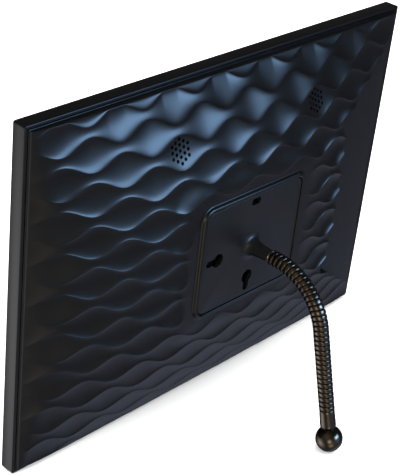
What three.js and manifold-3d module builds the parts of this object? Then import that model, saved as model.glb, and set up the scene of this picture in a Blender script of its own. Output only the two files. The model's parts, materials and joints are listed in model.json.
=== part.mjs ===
// Digital photo frame that leans on its lower edge and on a ball-ended gooseneck.
// Millimetres, +Z up. The screen faces -Y and the domed back faces +Y.
// The origin is at the centre of the bounding box's bottom.
// The housing is drawn upright in a group of its own, which is then leaned back:
// in that group X is across, Z is up the screen, and Y = 0 is the rear edge of the side walls.

import * as THREE from 'three';
import { mergeVertices } from 'three/addons/utils/BufferGeometryUtils.js';
import Module from 'manifold-3d';

const wasm = await Module();
wasm.setup();

// ---------- Driving dimensions ----------

const WIDTH = 282;
const HEIGHT = 200;
const SIDE_DEPTH = 8.7; // depth of the side walls, front to back
const WALL = 1.8; // thickness of the side walls
const GAP = 0.3; // clearance between neighbouring pieces
const LEAN = THREE.MathUtils.degToRad(3); // how far the screen leans back

// Front stack, as Y positions from the front
const FRONT_Y = -SIDE_DEPTH;
const LENS = { front: FRONT_Y + 0.1, back: FRONT_Y + 1.3 };
const LEDGE = { front: -7.1, back: -6.1, halfWidth: 109.5, halfHeight: 69 };
const PANEL = { front: -5.8, back: -4.8, halfWidth: 114, halfHeight: 74 };
const BACKLIGHT = { front: -4.5, back: -3.0 };
const CHASSIS = { front: -2.7, back: -2.1, halfWidth: 116, halfHeight: 77 };

// Rear cover: a pillow that rises quickly from a narrow border and then crowns gently
const COVER_GROOVE = 0.4; // gap between the side walls and the cover
const COVER_BASE_Y = -1.8;
const COVER_WALL = 2;
const COVER_RIM = 3; // solid band round the cover's edge
const EDGE_RISE = { height: 4.7, width: 3 };
const CROWN = { height: 21, halfWidth: 140, halfHeight: 95.5, powerX: 2.35, powerZ: 3.2 };
const DOME_CELLS = { x: 28, z: 22 }; // facets across the pillow, closer together near its edges
const BORDER = 0.4; // flat border round the pillow

// Connector pocket on the -X side
const POCKET = {
  wallX: -81.5,
  edgeX: -95.5,
  outerX: -150,
  floorY: 2.2,
  trenchY: -0.6,
  wallHalfHeight: 50,
  edgeHalfHeight: 56,
  outerHalfHeight: 94.8,
  lower: 3.4, // the lower edge is this much further from the middle than the upper
};
const POCKET_SKIN = 1.2; // thickness of the pocket's floor

// Mounting plate in the middle of the back
const PLATE = { faceY: 25.4, thickness: 2.4, width: 75.4, height: 62, corner: 5 };
const PLATE_BEAD = { width: 3, topY: 26.4 };
const PLATE_WEB = 2; // rear cover's floor behind the plate
const BACKING = { thickness: 1.2, width: 76, height: 64 };
const KEYHOLE = { wideRadius: 4, narrowRadius: 2, travel: 7 };
const SIDE_KEYHOLE_X = 26.2;
const LOWER_KEYHOLE_Z = -19.4;
const SLOT = { z: 27.4, length: 7, radius: 2 };

// Gooseneck
const HORN = { baseRadius: 9, waistRadius: 4.4, tipRadius: 3.4, blendHeight: 3, tipY: 39.9 };
const COLLAR_RADIUS = 3.7;
const STUD_RADIUS = 2;
const STUD_INNER_Y = 15;
const NECK_RADIUS = 4.2;
const NECK_START_Y = 40.9;
const NECK_STRAIGHT = 4.8; // straight length before the bend
const NECK_BEND_RADIUS = 35;
const NECK_BEND = THREE.MathUtils.degToRad(74.5);
const LINKS = 9;
const LINK_END_SLOPE = THREE.MathUtils.degToRad(9.6); // coned ends let a link turn 18 degrees
const NECK_SIDES = 14;
const SLEEVE = { length: 11, startRadius: 4.2, endRadius: 4.4 };
const BALL_RADIUS = 7.5;

// Feet
const FOOT = { proud: 0.3, depth: 0.6, length: 36, x: 104, front: -7.4, back: -2.6 };

// Speakers
const SPEAKER = { x: 53, z: 68.4, radius: 12, holeRadius: 0.9, pitch: 3, rings: 2 };

// Electronics
const BOARD = { left: -78.9, right: 30, bottom: -46, top: 44, front: 3, back: 4.6 };
const BOARD_PARTS_Y = BOARD.back + GAP;
const SOCKET_X = POCKET.wallX + COVER_WALL + GAP; // mouths of the sockets, just behind the wall
const JACK = { z: -38, width: 9, height: 9, length: 14, bore: 2.9, pin: 0.9 };
const USB = { z: 10, width: 13.2, height: 6.6, length: 14, skin: 0.5 };
const CARD = { z: -14, width: 26, height: 3.4, length: 20 };
const BUTTON = { z: 30, y: 10, radius: 3, flange: 3.8, proud: 1.2, length: 4.5 };
const SCREW = {
  leftX: -50,
  rightX: 24,
  lowZ: -41,
  highZ: 39,
  headRadius: 2.6,
  shankRadius: 0.9,
  bossRadius: 2.6,
};

// ---------- Materials ----------

const finish = (color, roughness, metalness = 0) =>
  new THREE.MeshStandardMaterial({ color, roughness, metalness });

const FINISH = {
  satinBlack: () => finish(0x17191d, 0.34),
  matteBlack: () => finish(0x1e2024, 0.5),
  lens: () => finish(0x0a0b0d, 0.08),
  screen: () => finish(0x101318, 0.2),
  diffuser: () => finish(0xe8eaea, 0.6),
  steel: () => finish(0xa9adb1, 0.35, 1),
  gunmetal: () => finish(0x2b2927, 0.22, 1),
  chrome: () => finish(0xc9c7c2, 0.15, 1),
  rubber: () => finish(0x1b1b1c, 0.9),
  circuitBoard: () => finish(0x174a2c, 0.55),
  chip: () => finish(0x1a1a1c, 0.5),
  cone: () => finish(0x232327, 0.8),
  magnet: () => finish(0x4a4c50, 0.4, 1),
  foam: () => finish(0x2a2a2c, 0.95),
  flex: () => finish(0xb4781e, 0.45),
};

// ---------- Shapes ----------

const bare = (geometry) => {
  const copy = geometry.clone();
  copy.deleteAttribute('normal');
  copy.deleteAttribute('uv');
  return mergeVertices(copy, 1e-4);
};

const toSolid = (geometry) => {
  const merged = bare(geometry);
  return new wasm.Manifold(
    new wasm.Mesh({
      numProp: 3,
      vertProperties: new Float32Array(merged.attributes.position.array),
      triVerts: new Uint32Array(merged.index.array),
    }),
  );
};

const toGeometry = (solid) => {
  const mesh = solid.getMesh();
  const geometry = new THREE.BufferGeometry();
  geometry.setAttribute('position', new THREE.BufferAttribute(mesh.vertProperties, 3));
  geometry.setIndex(new THREE.BufferAttribute(mesh.triVerts, 1));
  geometry.computeVertexNormals();
  return geometry;
};

const cut = (body, ...tools) =>
  toGeometry(tools.reduce((solid, tool) => solid.subtract(toSolid(tool)), toSolid(body)));

const join = (body, ...others) =>
  toGeometry(others.reduce((solid, other) => solid.add(toSolid(other)), toSolid(body)));

const overlapOf = (body, other) => toGeometry(toSolid(body).intersect(toSolid(other)));

// A box between two corners
const block = (x0, x1, y0, y1, z0, z1) =>
  new THREE.BoxGeometry(x1 - x0, y1 - y0, z1 - z0).translate(
    (x0 + x1) / 2,
    (y0 + y1) / 2,
    (z0 + z1) / 2,
  );

// A box centred on X and Z
const sheet = (halfWidth, halfHeight, y0, y1) =>
  block(-halfWidth, halfWidth, y0, y1, -halfHeight, halfHeight);

// A cylinder along Y
const pin = (radius, y0, y1, x = 0, z = 0, sides = 20) =>
  new THREE.CylinderGeometry(radius, radius, y1 - y0, sides).translate(x, (y0 + y1) / 2, z);

// A cylinder along X
const crossPin = (radius, x0, x1, y, z, sides = 20) =>
  new THREE.CylinderGeometry(radius, radius, x1 - x0, sides)
    .rotateZ(-Math.PI / 2)
    .translate((x0 + x1) / 2, y, z);

// An outline in X and Z, given thickness along Y
const slab = (shape, y0, y1, curveSegments = 5) =>
  new THREE.ExtrudeGeometry(shape, { depth: y1 - y0, bevelEnabled: false, curveSegments })
    .rotateX(Math.PI / 2)
    .translate(0, y1, 0);

const outline = (points) => new THREE.Shape(points.map(([x, z]) => new THREE.Vector2(x, z)));

const roundedRectangle = (width, height, radius) => {
  const x = width / 2 - radius;
  const z = height / 2 - radius;
  const shape = new THREE.Shape();
  shape.absarc(x, z, radius, 0, Math.PI / 2);
  shape.absarc(-x, z, radius, Math.PI / 2, Math.PI);
  shape.absarc(-x, -z, radius, Math.PI, 1.5 * Math.PI);
  shape.absarc(x, -z, radius, 1.5 * Math.PI, 2 * Math.PI);
  return shape;
};

// A round-ended opening that narrows from one radius to another, wide end at the origin, along +X
const keyholeShape = (wide, narrow, travel) => {
  const half = Math.asin(narrow / wide);
  const shape = new THREE.Shape();
  shape.absarc(0, 0, wide, half, 2 * Math.PI - half);
  shape.absarc(travel, 0, narrow, -Math.PI / 2, Math.PI / 2);
  return shape;
};

// The two keyholes as cutting tools: one points to +X and one points down
const keyholeTools = (wide, narrow, y0, y1) => {
  const tool = () => slab(keyholeShape(wide, narrow, KEYHOLE.travel), y0, y1, 6);
  return [
    tool().translate(SIDE_KEYHOLE_X, 0, 0),
    tool().rotateY(Math.PI / 2).translate(0, 0, LOWER_KEYHOLE_Z),
  ];
};

const slotTool = (y0, y1) =>
  slab(roundedRectangle(SLOT.length, 2 * SLOT.radius, SLOT.radius - 0.01), y0, y1, 4)
    .translate(0, 0, SLOT.z);

// ---------- Pillow ----------

const COVER_HALF_WIDTH = WIDTH / 2 - WALL - COVER_GROOVE;
const COVER_HALF_HEIGHT = HEIGHT / 2 - WALL - COVER_GROOVE;

// Height of the pillow's outer skin above the rear edge of the side walls
const domeY = (x, z) => {
  const u = Math.min(Math.abs(x) / CROWN.halfWidth, 1);
  const v = Math.min(Math.abs(z) / CROWN.halfHeight, 1);
  const edge = Math.min(COVER_HALF_WIDTH - Math.abs(x), COVER_HALF_HEIGHT - Math.abs(z));
  const rise = THREE.MathUtils.smoothstep(edge, BORDER, BORDER + EDGE_RISE.width);
  const crown = CROWN.height * (1 - u ** CROWN.powerX) * (1 - v ** CROWN.powerZ);
  return rise * (EDGE_RISE.height + crown);
};

// Moves a place between -1 and 1 towards the nearer end
const crowd = (t) => t * (1.4 - 0.4 * t * t);

// A block as wide and high as the cover, whose upper face follows the pillow
const domeBlock = (baseY, lowered) => {
  const geometry = new THREE.BoxGeometry(2, 1, 2, DOME_CELLS.x, 1, DOME_CELLS.z);
  const position = geometry.attributes.position;
  for (let i = 0; i < position.count; i += 1) {
    const x = COVER_HALF_WIDTH * crowd(position.getX(i));
    const z = COVER_HALF_HEIGHT * crowd(position.getZ(i));
    const top = Math.max(domeY(x, z) - lowered, baseY + 0.2);
    position.setXYZ(i, x, position.getY(i) > 0 ? top : baseY, z);
  }
  return geometry;
};

// The pocket and its trench, grown outwards by a margin and lowered by a skin
const pocketTools = (margin, skin) => {
  const p = POCKET;
  const wall = p.wallX + margin;
  const inner = p.wallHalfHeight + margin;
  const edge = p.edgeHalfHeight + margin;
  const outer = p.outerHalfHeight + margin;
  const trench = outline([
    [wall, inner],
    [p.edgeX, edge],
    [p.edgeX, -edge - p.lower],
    [wall, -inner - p.lower],
  ]);
  const pocket = outline([
    [wall, inner],
    [p.edgeX, edge],
    [p.outerX, outer],
    [p.outerX, -outer - p.lower],
    [p.edgeX, -edge - p.lower],
    [wall, -inner - p.lower],
  ]);
  return [slab(pocket, p.floorY - skin, 40), slab(trench, p.trenchY - skin, 40)];
};

const speakerHoles = () => {
  const holes = [];
  const { holeRadius, pitch, rings, x, z } = SPEAKER;
  for (const side of [-1, 1]) {
    for (let column = -rings; column <= rings; column += 1) {
      const lowest = Math.max(-rings, -rings - column);
      const highest = Math.min(rings, rings - column);
      for (let row = lowest; row <= highest; row += 1) {
        const dx = pitch * column * Math.cos(Math.PI / 6);
        const dz = pitch * (row + column / 2);
        holes.push(pin(holeRadius, 5, 30, side * x + dx, z + dz, 6));
      }
    }
  }
  return holes;
};

const socketWindows = () => {
  const x0 = POCKET.wallX - 1;
  const x1 = POCKET.wallX + COVER_WALL + 0.1;
  const window = (part, margin) =>
    block(
      x0,
      x1,
      BOARD_PARTS_Y - margin,
      BOARD_PARTS_Y + part.height + margin,
      part.z - part.width / 2 - margin,
      part.z + part.width / 2 + margin,
    );
  return [
    window(USB, GAP),
    window(CARD, GAP),
    crossPin(JACK.bore + GAP, x0, x1, BOARD_PARTS_Y + JACK.height / 2, JACK.z),
    crossPin(BUTTON.radius + GAP, x0, x1, BUTTON.y, BUTTON.z),
  ];
};

const rearCover = () => {
  const beadShape = roundedRectangle(
    PLATE.width + 2 * GAP + 2 * PLATE_BEAD.width,
    PLATE.height + 2 * GAP + 2 * PLATE_BEAD.width,
    PLATE.corner + PLATE_BEAD.width,
  );
  const seatShape = roundedRectangle(PLATE.width + 2 * GAP, PLATE.height + 2 * GAP, PLATE.corner);
  const seatY = PLATE.faceY - PLATE.thickness - GAP;
  const body = cut(
    join(domeBlock(COVER_BASE_Y, 0), slab(beadShape, 10, PLATE_BEAD.topY)),
    ...pocketTools(0, 0),
    slab(seatShape, seatY, 40),
  );
  const inside = sheet(COVER_HALF_WIDTH - COVER_RIM, COVER_HALF_HEIGHT - COVER_RIM, -3, 40);
  const hollow = cut(
    overlapOf(domeBlock(COVER_BASE_Y - 1, COVER_WALL), inside),
    ...pocketTools(COVER_WALL, POCKET_SKIN),
    slab(beadShape, seatY - PLATE_WEB, 40),
  );
  return cut(
    body,
    hollow,
    ...speakerHoles(),
    ...socketWindows(),
    ...keyholeTools(KEYHOLE.wideRadius + 1, KEYHOLE.wideRadius, 0, 40),
    slotTool(0, 40),
    pin(STUD_RADIUS + GAP, 0, 40),
  );
};

// ---------- Front ----------

const footSocket = (side) => {
  const half = FOOT.length / 2;
  const bottom = -HEIGHT / 2;
  return block(
    side * FOOT.x - half,
    side * FOOT.x + half,
    FOOT.front,
    FOOT.back,
    bottom - 1,
    bottom + FOOT.depth,
  );
};

const frontHousing = () =>
  cut(
    sheet(WIDTH / 2, HEIGHT / 2, FRONT_Y, 0),
    sheet(WIDTH / 2 - WALL, HEIGHT / 2 - WALL, LEDGE.back, 1),
    sheet(LEDGE.halfWidth, LEDGE.halfHeight, FRONT_Y - 1, 0),
    sheet(WIDTH / 2 - WALL, HEIGHT / 2 - WALL, FRONT_Y - 1, LEDGE.front),
    footSocket(-1),
    footSocket(1),
  );

const frontLens = () =>
  sheet(WIDTH / 2 - WALL - GAP, HEIGHT / 2 - WALL - GAP, LENS.front, LENS.back);

const bossPlaces = () => [
  [SCREW.leftX, SCREW.lowZ],
  [SCREW.rightX, SCREW.lowZ],
  [SCREW.leftX, SCREW.highZ],
  [SCREW.rightX, SCREW.highZ],
];

const chassisPlate = () => {
  const bosses = bossPlaces().map(([x, z]) =>
    pin(SCREW.bossRadius, CHASSIS.front + 0.1, BOARD.front - GAP, x, z, 12),
  );
  const bores = bossPlaces().map(([x, z]) =>
    pin(SCREW.shankRadius + GAP, CHASSIS.front - 1, 10, x, z, 12),
  );
  const plate = sheet(CHASSIS.halfWidth, CHASSIS.halfHeight, CHASSIS.front, CHASSIS.back);
  return cut(join(plate, ...bosses), ...bores);
};

// Flat flex that leaves the lower edge of the screen, turns up behind the chassis
// and ends under the board's lower edge
const lcdRibbon = () => {
  const thickness = 0.3;
  const low = -CHASSIS.halfHeight - 1.2;
  const section = outline([
    [PANEL.back, -PANEL.halfHeight - 0.4],
    [PANEL.back, low - thickness],
    [0.4 + thickness, low - thickness],
    [0.4 + thickness, BOARD.bottom + 4],
    [0.4, BOARD.bottom + 4],
    [0.4, low],
    [PANEL.back + thickness, low],
    [PANEL.back + thickness, -PANEL.halfHeight - 0.4],
  ]);
  // the section lies in Y and Z and is drawn out along X
  return new THREE.ExtrudeGeometry(section, { depth: 24, bevelEnabled: false })
    .rotateX(Math.PI / 2)
    .rotateZ(Math.PI / 2)
    .translate(-12, 0, 0);
};

// ---------- Electronics ----------

const mainBoard = () =>
  cut(
    block(BOARD.left, BOARD.right, BOARD.front, BOARD.back, BOARD.bottom, BOARD.top),
    ...bossPlaces().map(([x, z]) => pin(1.5, 0, 10, x, z, 12)),
  );

const boardScrew = ([x, z]) =>
  join(
    pin(SCREW.headRadius, BOARD_PARTS_Y, BOARD_PARTS_Y + 1.4, x, z, 12),
    pin(SCREW.shankRadius, CHASSIS.back, BOARD_PARTS_Y + 0.5, x, z, 12),
  );

const socketBlock = (part) =>
  block(
    SOCKET_X,
    SOCKET_X + part.length,
    BOARD_PARTS_Y,
    BOARD_PARTS_Y + part.height,
    part.z - part.width / 2,
    part.z + part.width / 2,
  );

const dcJack = () => {
  const y = BOARD_PARTS_Y + JACK.height / 2;
  const depth = JACK.length - 3;
  const hollowed = cut(
    socketBlock(JACK),
    crossPin(JACK.bore, SOCKET_X - 1, SOCKET_X + depth, y, JACK.z),
  );
  return join(hollowed, crossPin(JACK.pin, SOCKET_X + 1, SOCKET_X + depth + 1, y, JACK.z, 10));
};

const usbPort = () => {
  const { skin, height, width, z, length } = USB;
  const y0 = BOARD_PARTS_Y;
  const half = width / 2 - skin;
  const mouth = block(
    SOCKET_X - 1, SOCKET_X + length - 1, y0 + skin, y0 + height - skin, z - half, z + half,
  );
  const tongue = block(SOCKET_X + 1, SOCKET_X + length - 0.5, y0 + 1, y0 + 2.9, z - 5.5, z + 5.5);
  return join(cut(socketBlock(USB), mouth), tongue);
};

const cardSlot = () =>
  cut(
    socketBlock(CARD),
    block(
      SOCKET_X - 1,
      SOCKET_X + CARD.length - 2,
      BOARD_PARTS_Y + 0.6,
      BOARD_PARTS_Y + CARD.height - 0.6,
      CARD.z - CARD.width / 2 + 0.8,
      CARD.z + CARD.width / 2 - 0.8,
    ),
  );

const powerButton = () => {
  const front = POCKET.wallX - BUTTON.proud;
  return join(
    crossPin(BUTTON.radius, front, front + BUTTON.length, BUTTON.y, BUTTON.z),
    crossPin(BUTTON.flange, SOCKET_X + 0.1, SOCKET_X + 0.9, BUTTON.y, BUTTON.z),
  );
};

const buttonSwitch = () => {
  const front = POCKET.wallX - BUTTON.proud + BUTTON.length + 1.2;
  return block(front, front + 5, BOARD_PARTS_Y, BUTTON.y + 3, BUTTON.z - 3, BUTTON.z + 3);
};

// ---------- Speakers, drawn with the grille's skin at Y = 0 and the speaker behind it ----------

const ringSolid = (profile, sides = 20) =>
  new THREE.LatheGeometry(profile.map(([r, y]) => new THREE.Vector2(r, y)), sides);

const speakerGasket = () =>
  ringSolid([[9.5, -4.6], [SPEAKER.radius, -4.6], [SPEAKER.radius, -3.2], [9.5, -3.2], [9.5, -4.6]]);

const speakerFrame = () =>
  ringSolid([
    [4.6, -10.4], [7.4, -10.4], [SPEAKER.radius, -5.9], [SPEAKER.radius, -4.9],
    [10, -4.9], [10, -5.9], [6.6, -9.4], [4.6, -9.4], [4.6, -10.4],
  ]);

const speakerCone = () =>
  ringSolid([[0, -8.7], [3, -8.7], [9.6, -5.6], [9.6, -5.2], [3, -8.2], [0, -8.2]]);

const speakerMagnet = () => ringSolid([[0, -13], [6.5, -13], [6.5, -10.7], [0, -10.7]]);

// ---------- Mounting plate and neck ----------

const hornProfile = () => {
  const points = [[0, PLATE.faceY - 1]];
  const steps = 7;
  for (let i = 0; i <= steps; i += 1) {
    const t = i / steps;
    const radius = HORN.waistRadius + (HORN.baseRadius - HORN.waistRadius) * (1 - t) ** 3;
    points.push([radius, PLATE.faceY - 0.4 + (HORN.blendHeight + 0.4) * t]);
  }
  points.push([HORN.tipRadius, HORN.tipY], [0, HORN.tipY]);
  return points;
};

const mountPlate = () => {
  const shape = roundedRectangle(PLATE.width, PLATE.height, PLATE.corner);
  return cut(
    join(slab(shape, PLATE.faceY - PLATE.thickness, PLATE.faceY), ringSolid(hornProfile(), 24)),
    ...keyholeTools(KEYHOLE.wideRadius, KEYHOLE.narrowRadius, 15, 45),
    slotTool(15, 45),
    pin(STUD_RADIUS + GAP, 15, 45),
  );
};

const BACKING_FACE_Y = PLATE.faceY - PLATE.thickness - 2 * GAP - PLATE_WEB;

const backingPlate = () =>
  cut(
    sheet(
      BACKING.width / 2, BACKING.height / 2, BACKING_FACE_Y - BACKING.thickness, BACKING_FACE_Y,
    ),
    ...keyholeTools(KEYHOLE.wideRadius + 1, KEYHOLE.wideRadius, 0, 40),
    slotTool(0, 40),
    pin(STUD_RADIUS + GAP, 0, 40),
  );

const neckStud = () => pin(STUD_RADIUS, STUD_INNER_Y, NECK_START_Y - GAP);

const neckNut = () => {
  const top = BACKING_FACE_Y - BACKING.thickness - GAP;
  return cut(pin(5.2, top - 3.2, top, 0, 0, 6), pin(STUD_RADIUS + GAP, 0, 40));
};

const collarRing = () => {
  const inner = STUD_RADIUS + GAP;
  const start = HORN.tipY + GAP;
  const end = NECK_START_Y - GAP / 2;
  return ringSolid(
    [[inner, start], [COLLAR_RADIUS, start], [COLLAR_RADIUS, end], [inner, end], [inner, start]], 24,
  );
};

const NECK_ARC = NECK_BEND_RADIUS * NECK_BEND;

// Centreline of the neck by its length: a straight, a round bend down, and a straight
const neckAt = (s) => {
  const bend = THREE.MathUtils.clamp((s - NECK_STRAIGHT) / NECK_BEND_RADIUS, 0, NECK_BEND);
  const before = Math.min(s, NECK_STRAIGHT);
  const after = Math.max(s - NECK_STRAIGHT - NECK_ARC, 0);
  return {
    bend,
    y: NECK_START_Y + before + NECK_BEND_RADIUS * Math.sin(bend) + after * Math.cos(bend),
    z: -NECK_BEND_RADIUS * (1 - Math.cos(bend)) - after * Math.sin(bend),
  };
};

// How high the group's origin stands, so that the feet and not the housing touch the ground
const LIFT = (HEIGHT / 2) * Math.cos(LEAN) + FOOT.proud;

// The neck is as long as it takes for the ball to touch the ground
const bendEnd = neckAt(NECK_STRAIGHT + NECK_ARC);
const drop = LIFT - BALL_RADIUS + bendEnd.z * Math.cos(LEAN) - bendEnd.y * Math.sin(LEAN);
const BALL_AT = NECK_STRAIGHT + NECK_ARC + drop / Math.sin(NECK_BEND + LEAN);
const SLEEVE_AT = BALL_AT - BALL_RADIUS - SLEEVE.length + 0.6;
const LINK_LENGTH = SLEEVE_AT / LINKS;

// Moves a shape drawn round the Y axis onto the neck, its Y being the length along it
const alongNeck = (geometry) => {
  const position = geometry.attributes.position;
  for (let i = 0; i < position.count; i += 1) {
    const { bend, y, z } = neckAt(position.getY(i));
    const side = position.getZ(i);
    const x = position.getX(i);
    position.setXYZ(i, x, y + side * Math.sin(bend), z + side * Math.cos(bend));
  }
  geometry.computeVertexNormals();
  return geometry;
};

const neckLink = (index) => {
  const start = index * LINK_LENGTH + GAP / 2;
  const end = (index + 1) * LINK_LENGTH - GAP / 2;
  const cone = NECK_RADIUS * Math.tan(LINK_END_SLOPE);
  const startCone = index === 0 ? 0 : cone;
  const endCone = index === LINKS - 1 ? 0 : cone;
  const r = NECK_RADIUS;
  const profile = [
    [0, start], [r, start + startCone], [r, (start + end) / 2], [r, end - endCone], [0, end],
  ];
  return alongNeck(ringSolid(profile, NECK_SIDES));
};

const footSleeve = () => {
  const start = SLEEVE_AT + GAP / 2;
  const end = BALL_AT - Math.sqrt((BALL_RADIUS + GAP) ** 2 - SLEEVE.endRadius ** 2);
  const inner = BALL_AT - BALL_RADIUS - GAP;
  return alongNeck(
    ringSolid(
      [
        [0, start], [SLEEVE.startRadius - 0.4, start], [SLEEVE.startRadius, start + 0.6],
        [SLEEVE.endRadius, end - 0.4], [0, Math.min(inner, end) - 0.4],
      ],
      20,
    ),
  );
};

const footBall = () => {
  const centre = neckAt(BALL_AT);
  return new THREE.SphereGeometry(BALL_RADIUS, 20, 13).translate(0, centre.y, centre.z);
};

// A pad set into the lower edge, cut level with the ground
const rubberFoot = (side) => {
  const groundZ = (y) => (y * Math.sin(LEAN) - LIFT) / Math.cos(LEAN);
  const front = FOOT.front + GAP;
  const back = FOOT.back - GAP;
  const top = -HEIGHT / 2 + FOOT.depth - GAP;
  const section = outline([[front, groundZ(front)], [back, groundZ(back)], [back, top], [front, top]]);
  const half = FOOT.length / 2 - GAP;
  return new THREE.ExtrudeGeometry(section, { depth: 2 * half, bevelEnabled: false })
    .rotateX(Math.PI / 2)
    .rotateZ(Math.PI / 2)
    .translate(side * FOOT.x - half, 0, 0);
};

// ---------- Assembly ----------

const part = (name, geometry, material) => {
  const mesh = new THREE.Mesh(bare(geometry), material);
  mesh.geometry.computeVertexNormals();
  mesh.name = name;
  return mesh;
};

// One speaker with its axis square to the pillow's skin
const speaker = (side, word) => {
  const step = 1;
  const slope = (domeY(SPEAKER.x, SPEAKER.z + step) - domeY(SPEAKER.x, SPEAKER.z - step)) / (2 * step);
  const group = new THREE.Group();
  group.position.set(side * SPEAKER.x, domeY(SPEAKER.x, SPEAKER.z), SPEAKER.z);
  group.rotation.x = -Math.atan(slope);
  group.add(
    part(`speaker_gasket_${word}`, speakerGasket(), FINISH.foam()),
    part(`speaker_frame_${word}`, speakerFrame(), FINISH.matteBlack()),
    part(`speaker_cone_${word}`, speakerCone(), FINISH.cone()),
    part(`speaker_magnet_${word}`, speakerMagnet(), FINISH.magnet()),
  );
  return group;
};

const frame = new THREE.Group();
frame.add(
  part('front_housing', frontHousing(), FINISH.satinBlack()),
  part('front_lens', frontLens(), FINISH.lens()),
  part('lcd_panel', sheet(PANEL.halfWidth, PANEL.halfHeight, PANEL.front, PANEL.back), FINISH.screen()),
  part(
    'backlight_unit',
    sheet(PANEL.halfWidth, PANEL.halfHeight, BACKLIGHT.front, BACKLIGHT.back),
    FINISH.diffuser(),
  ),
  part('chassis_plate', chassisPlate(), FINISH.steel()),
  part('lcd_ribbon', lcdRibbon(), FINISH.flex()),
  part('main_board', mainBoard(), FINISH.circuitBoard()),
  part('soc_shield', block(-32, -4, BOARD_PARTS_Y, BOARD_PARTS_Y + 2.2, -12, 16), FINISH.steel()),
  part('memory_chip', block(2, 14, BOARD_PARTS_Y, BOARD_PARTS_Y + 1.1, -4, 10), FINISH.chip()),
  part(
    'wifi_antenna',
    block(68, 104, CHASSIS.back + GAP, CHASSIS.back + GAP + 0.8, 54, 62),
    FINISH.circuitBoard(),
  ),
  part('rear_cover', rearCover(), FINISH.satinBlack()),
  part('mount_plate', mountPlate(), FINISH.matteBlack()),
  part('backing_plate', backingPlate(), FINISH.steel()),
  part('neck_stud', neckStud(), FINISH.steel()),
  part('neck_nut', neckNut(), FINISH.steel()),
  part('collar_ring', collarRing(), FINISH.chrome()),
  part('foot_sleeve', footSleeve(), FINISH.gunmetal()),
  part('foot_ball', footBall(), FINISH.gunmetal()),
  part('dc_jack', dcJack(), FINISH.chip()),
  part('usb_port', usbPort(), FINISH.steel()),
  part('card_slot', cardSlot(), FINISH.steel()),
  part('power_button', powerButton(), FINISH.matteBlack()),
  part('button_switch', buttonSwitch(), FINISH.chip()),
  part('rubber_foot_left', rubberFoot(1), FINISH.rubber()),
  part('rubber_foot_right', rubberFoot(-1), FINISH.rubber()),
  speaker(1, 'left'),
  speaker(-1, 'right'),
);
bossPlaces().forEach((place, i) => {
  frame.add(part(`board_screw_${i + 1}`, boardScrew(place), FINISH.steel()));
});
for (let i = 0; i < LINKS; i += 1) {
  frame.add(part(`neck_link_${i + 1}`, neckLink(i), FINISH.gunmetal()));
}

// Leaned back, and moved so that the origin is at the bottom centre of the whole
const ball = neckAt(BALL_AT);
const frontLow = FRONT_Y * Math.cos(LEAN) - (HEIGHT / 2) * Math.sin(LEAN);
const ballBack = ball.y * Math.cos(LEAN) + ball.z * Math.sin(LEAN) + BALL_RADIUS;
frame.rotation.x = -LEAN;
frame.position.set(0, -(frontLow + ballBack) / 2, LIFT);

const photoFrame = new THREE.Group();
photoFrame.add(frame);

export default photoFrame;
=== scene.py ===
"""A digital photo frame seen from behind: a domed back in wave relief and a ball-ended gooseneck.

Shapes are drawn upright in millimetres: X across, Z up the screen, Y out of the back, with the origin at
the middle of the housing's rear edge plane. to_row() leans them back into the CAD's frame, in metres.
"""

import json
import math

import bmesh
import bpy
import numpy as np
from mathutils import Matrix, Vector


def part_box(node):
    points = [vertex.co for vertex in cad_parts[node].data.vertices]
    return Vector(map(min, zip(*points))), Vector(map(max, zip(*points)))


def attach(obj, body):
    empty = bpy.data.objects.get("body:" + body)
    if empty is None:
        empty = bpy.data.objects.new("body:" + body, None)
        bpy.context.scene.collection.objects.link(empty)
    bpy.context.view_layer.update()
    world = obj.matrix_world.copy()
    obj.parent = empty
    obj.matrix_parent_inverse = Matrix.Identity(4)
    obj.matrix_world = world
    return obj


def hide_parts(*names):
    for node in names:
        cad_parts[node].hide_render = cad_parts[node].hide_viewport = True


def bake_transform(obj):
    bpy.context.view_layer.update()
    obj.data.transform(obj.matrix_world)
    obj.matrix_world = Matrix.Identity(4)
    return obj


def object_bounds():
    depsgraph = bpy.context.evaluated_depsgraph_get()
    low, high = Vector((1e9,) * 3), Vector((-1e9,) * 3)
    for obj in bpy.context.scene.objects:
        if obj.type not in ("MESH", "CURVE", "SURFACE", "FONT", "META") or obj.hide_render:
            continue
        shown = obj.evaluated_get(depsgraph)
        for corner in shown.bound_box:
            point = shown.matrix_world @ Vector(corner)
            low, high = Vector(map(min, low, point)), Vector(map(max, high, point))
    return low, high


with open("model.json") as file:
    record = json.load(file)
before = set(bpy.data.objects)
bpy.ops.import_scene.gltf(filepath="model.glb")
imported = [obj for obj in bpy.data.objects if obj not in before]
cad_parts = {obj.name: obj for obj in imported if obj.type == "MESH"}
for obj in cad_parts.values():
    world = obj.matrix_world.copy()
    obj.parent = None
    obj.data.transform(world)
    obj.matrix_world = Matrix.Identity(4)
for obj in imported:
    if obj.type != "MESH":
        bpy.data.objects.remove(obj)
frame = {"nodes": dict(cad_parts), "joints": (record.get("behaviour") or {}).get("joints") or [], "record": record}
cad_low, cad_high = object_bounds()

MM = 0.001

# ---------- The CAD's frame ----------

MOUNTS = {mount["name"]: mount for mount in frame["record"]["mounts"]}
PLATE_MOUNT = MOUNTS["wall_plate"]
PLATE_POINT = np.array([-30.0, 25.4, 20.0])  # where the plate's mount is in the upright drawing
LEAN = math.atan2(-PLATE_MOUNT["axis"][2], PLATE_MOUNT["axis"][1])
TURN = np.array(
    [
        [1, 0, 0],
        [0, math.cos(LEAN), math.sin(LEAN)],
        [0, -math.sin(LEAN), math.cos(LEAN)],
    ]
)
SHIFT = np.array(PLATE_MOUNT["pos_m"]) - TURN @ PLATE_POINT * MM


def to_row(points):
    """Points of the upright drawing, in millimetres, in the CAD's frame, in metres."""
    return np.asarray(points, float) @ TURN.T * MM + SHIFT


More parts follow.
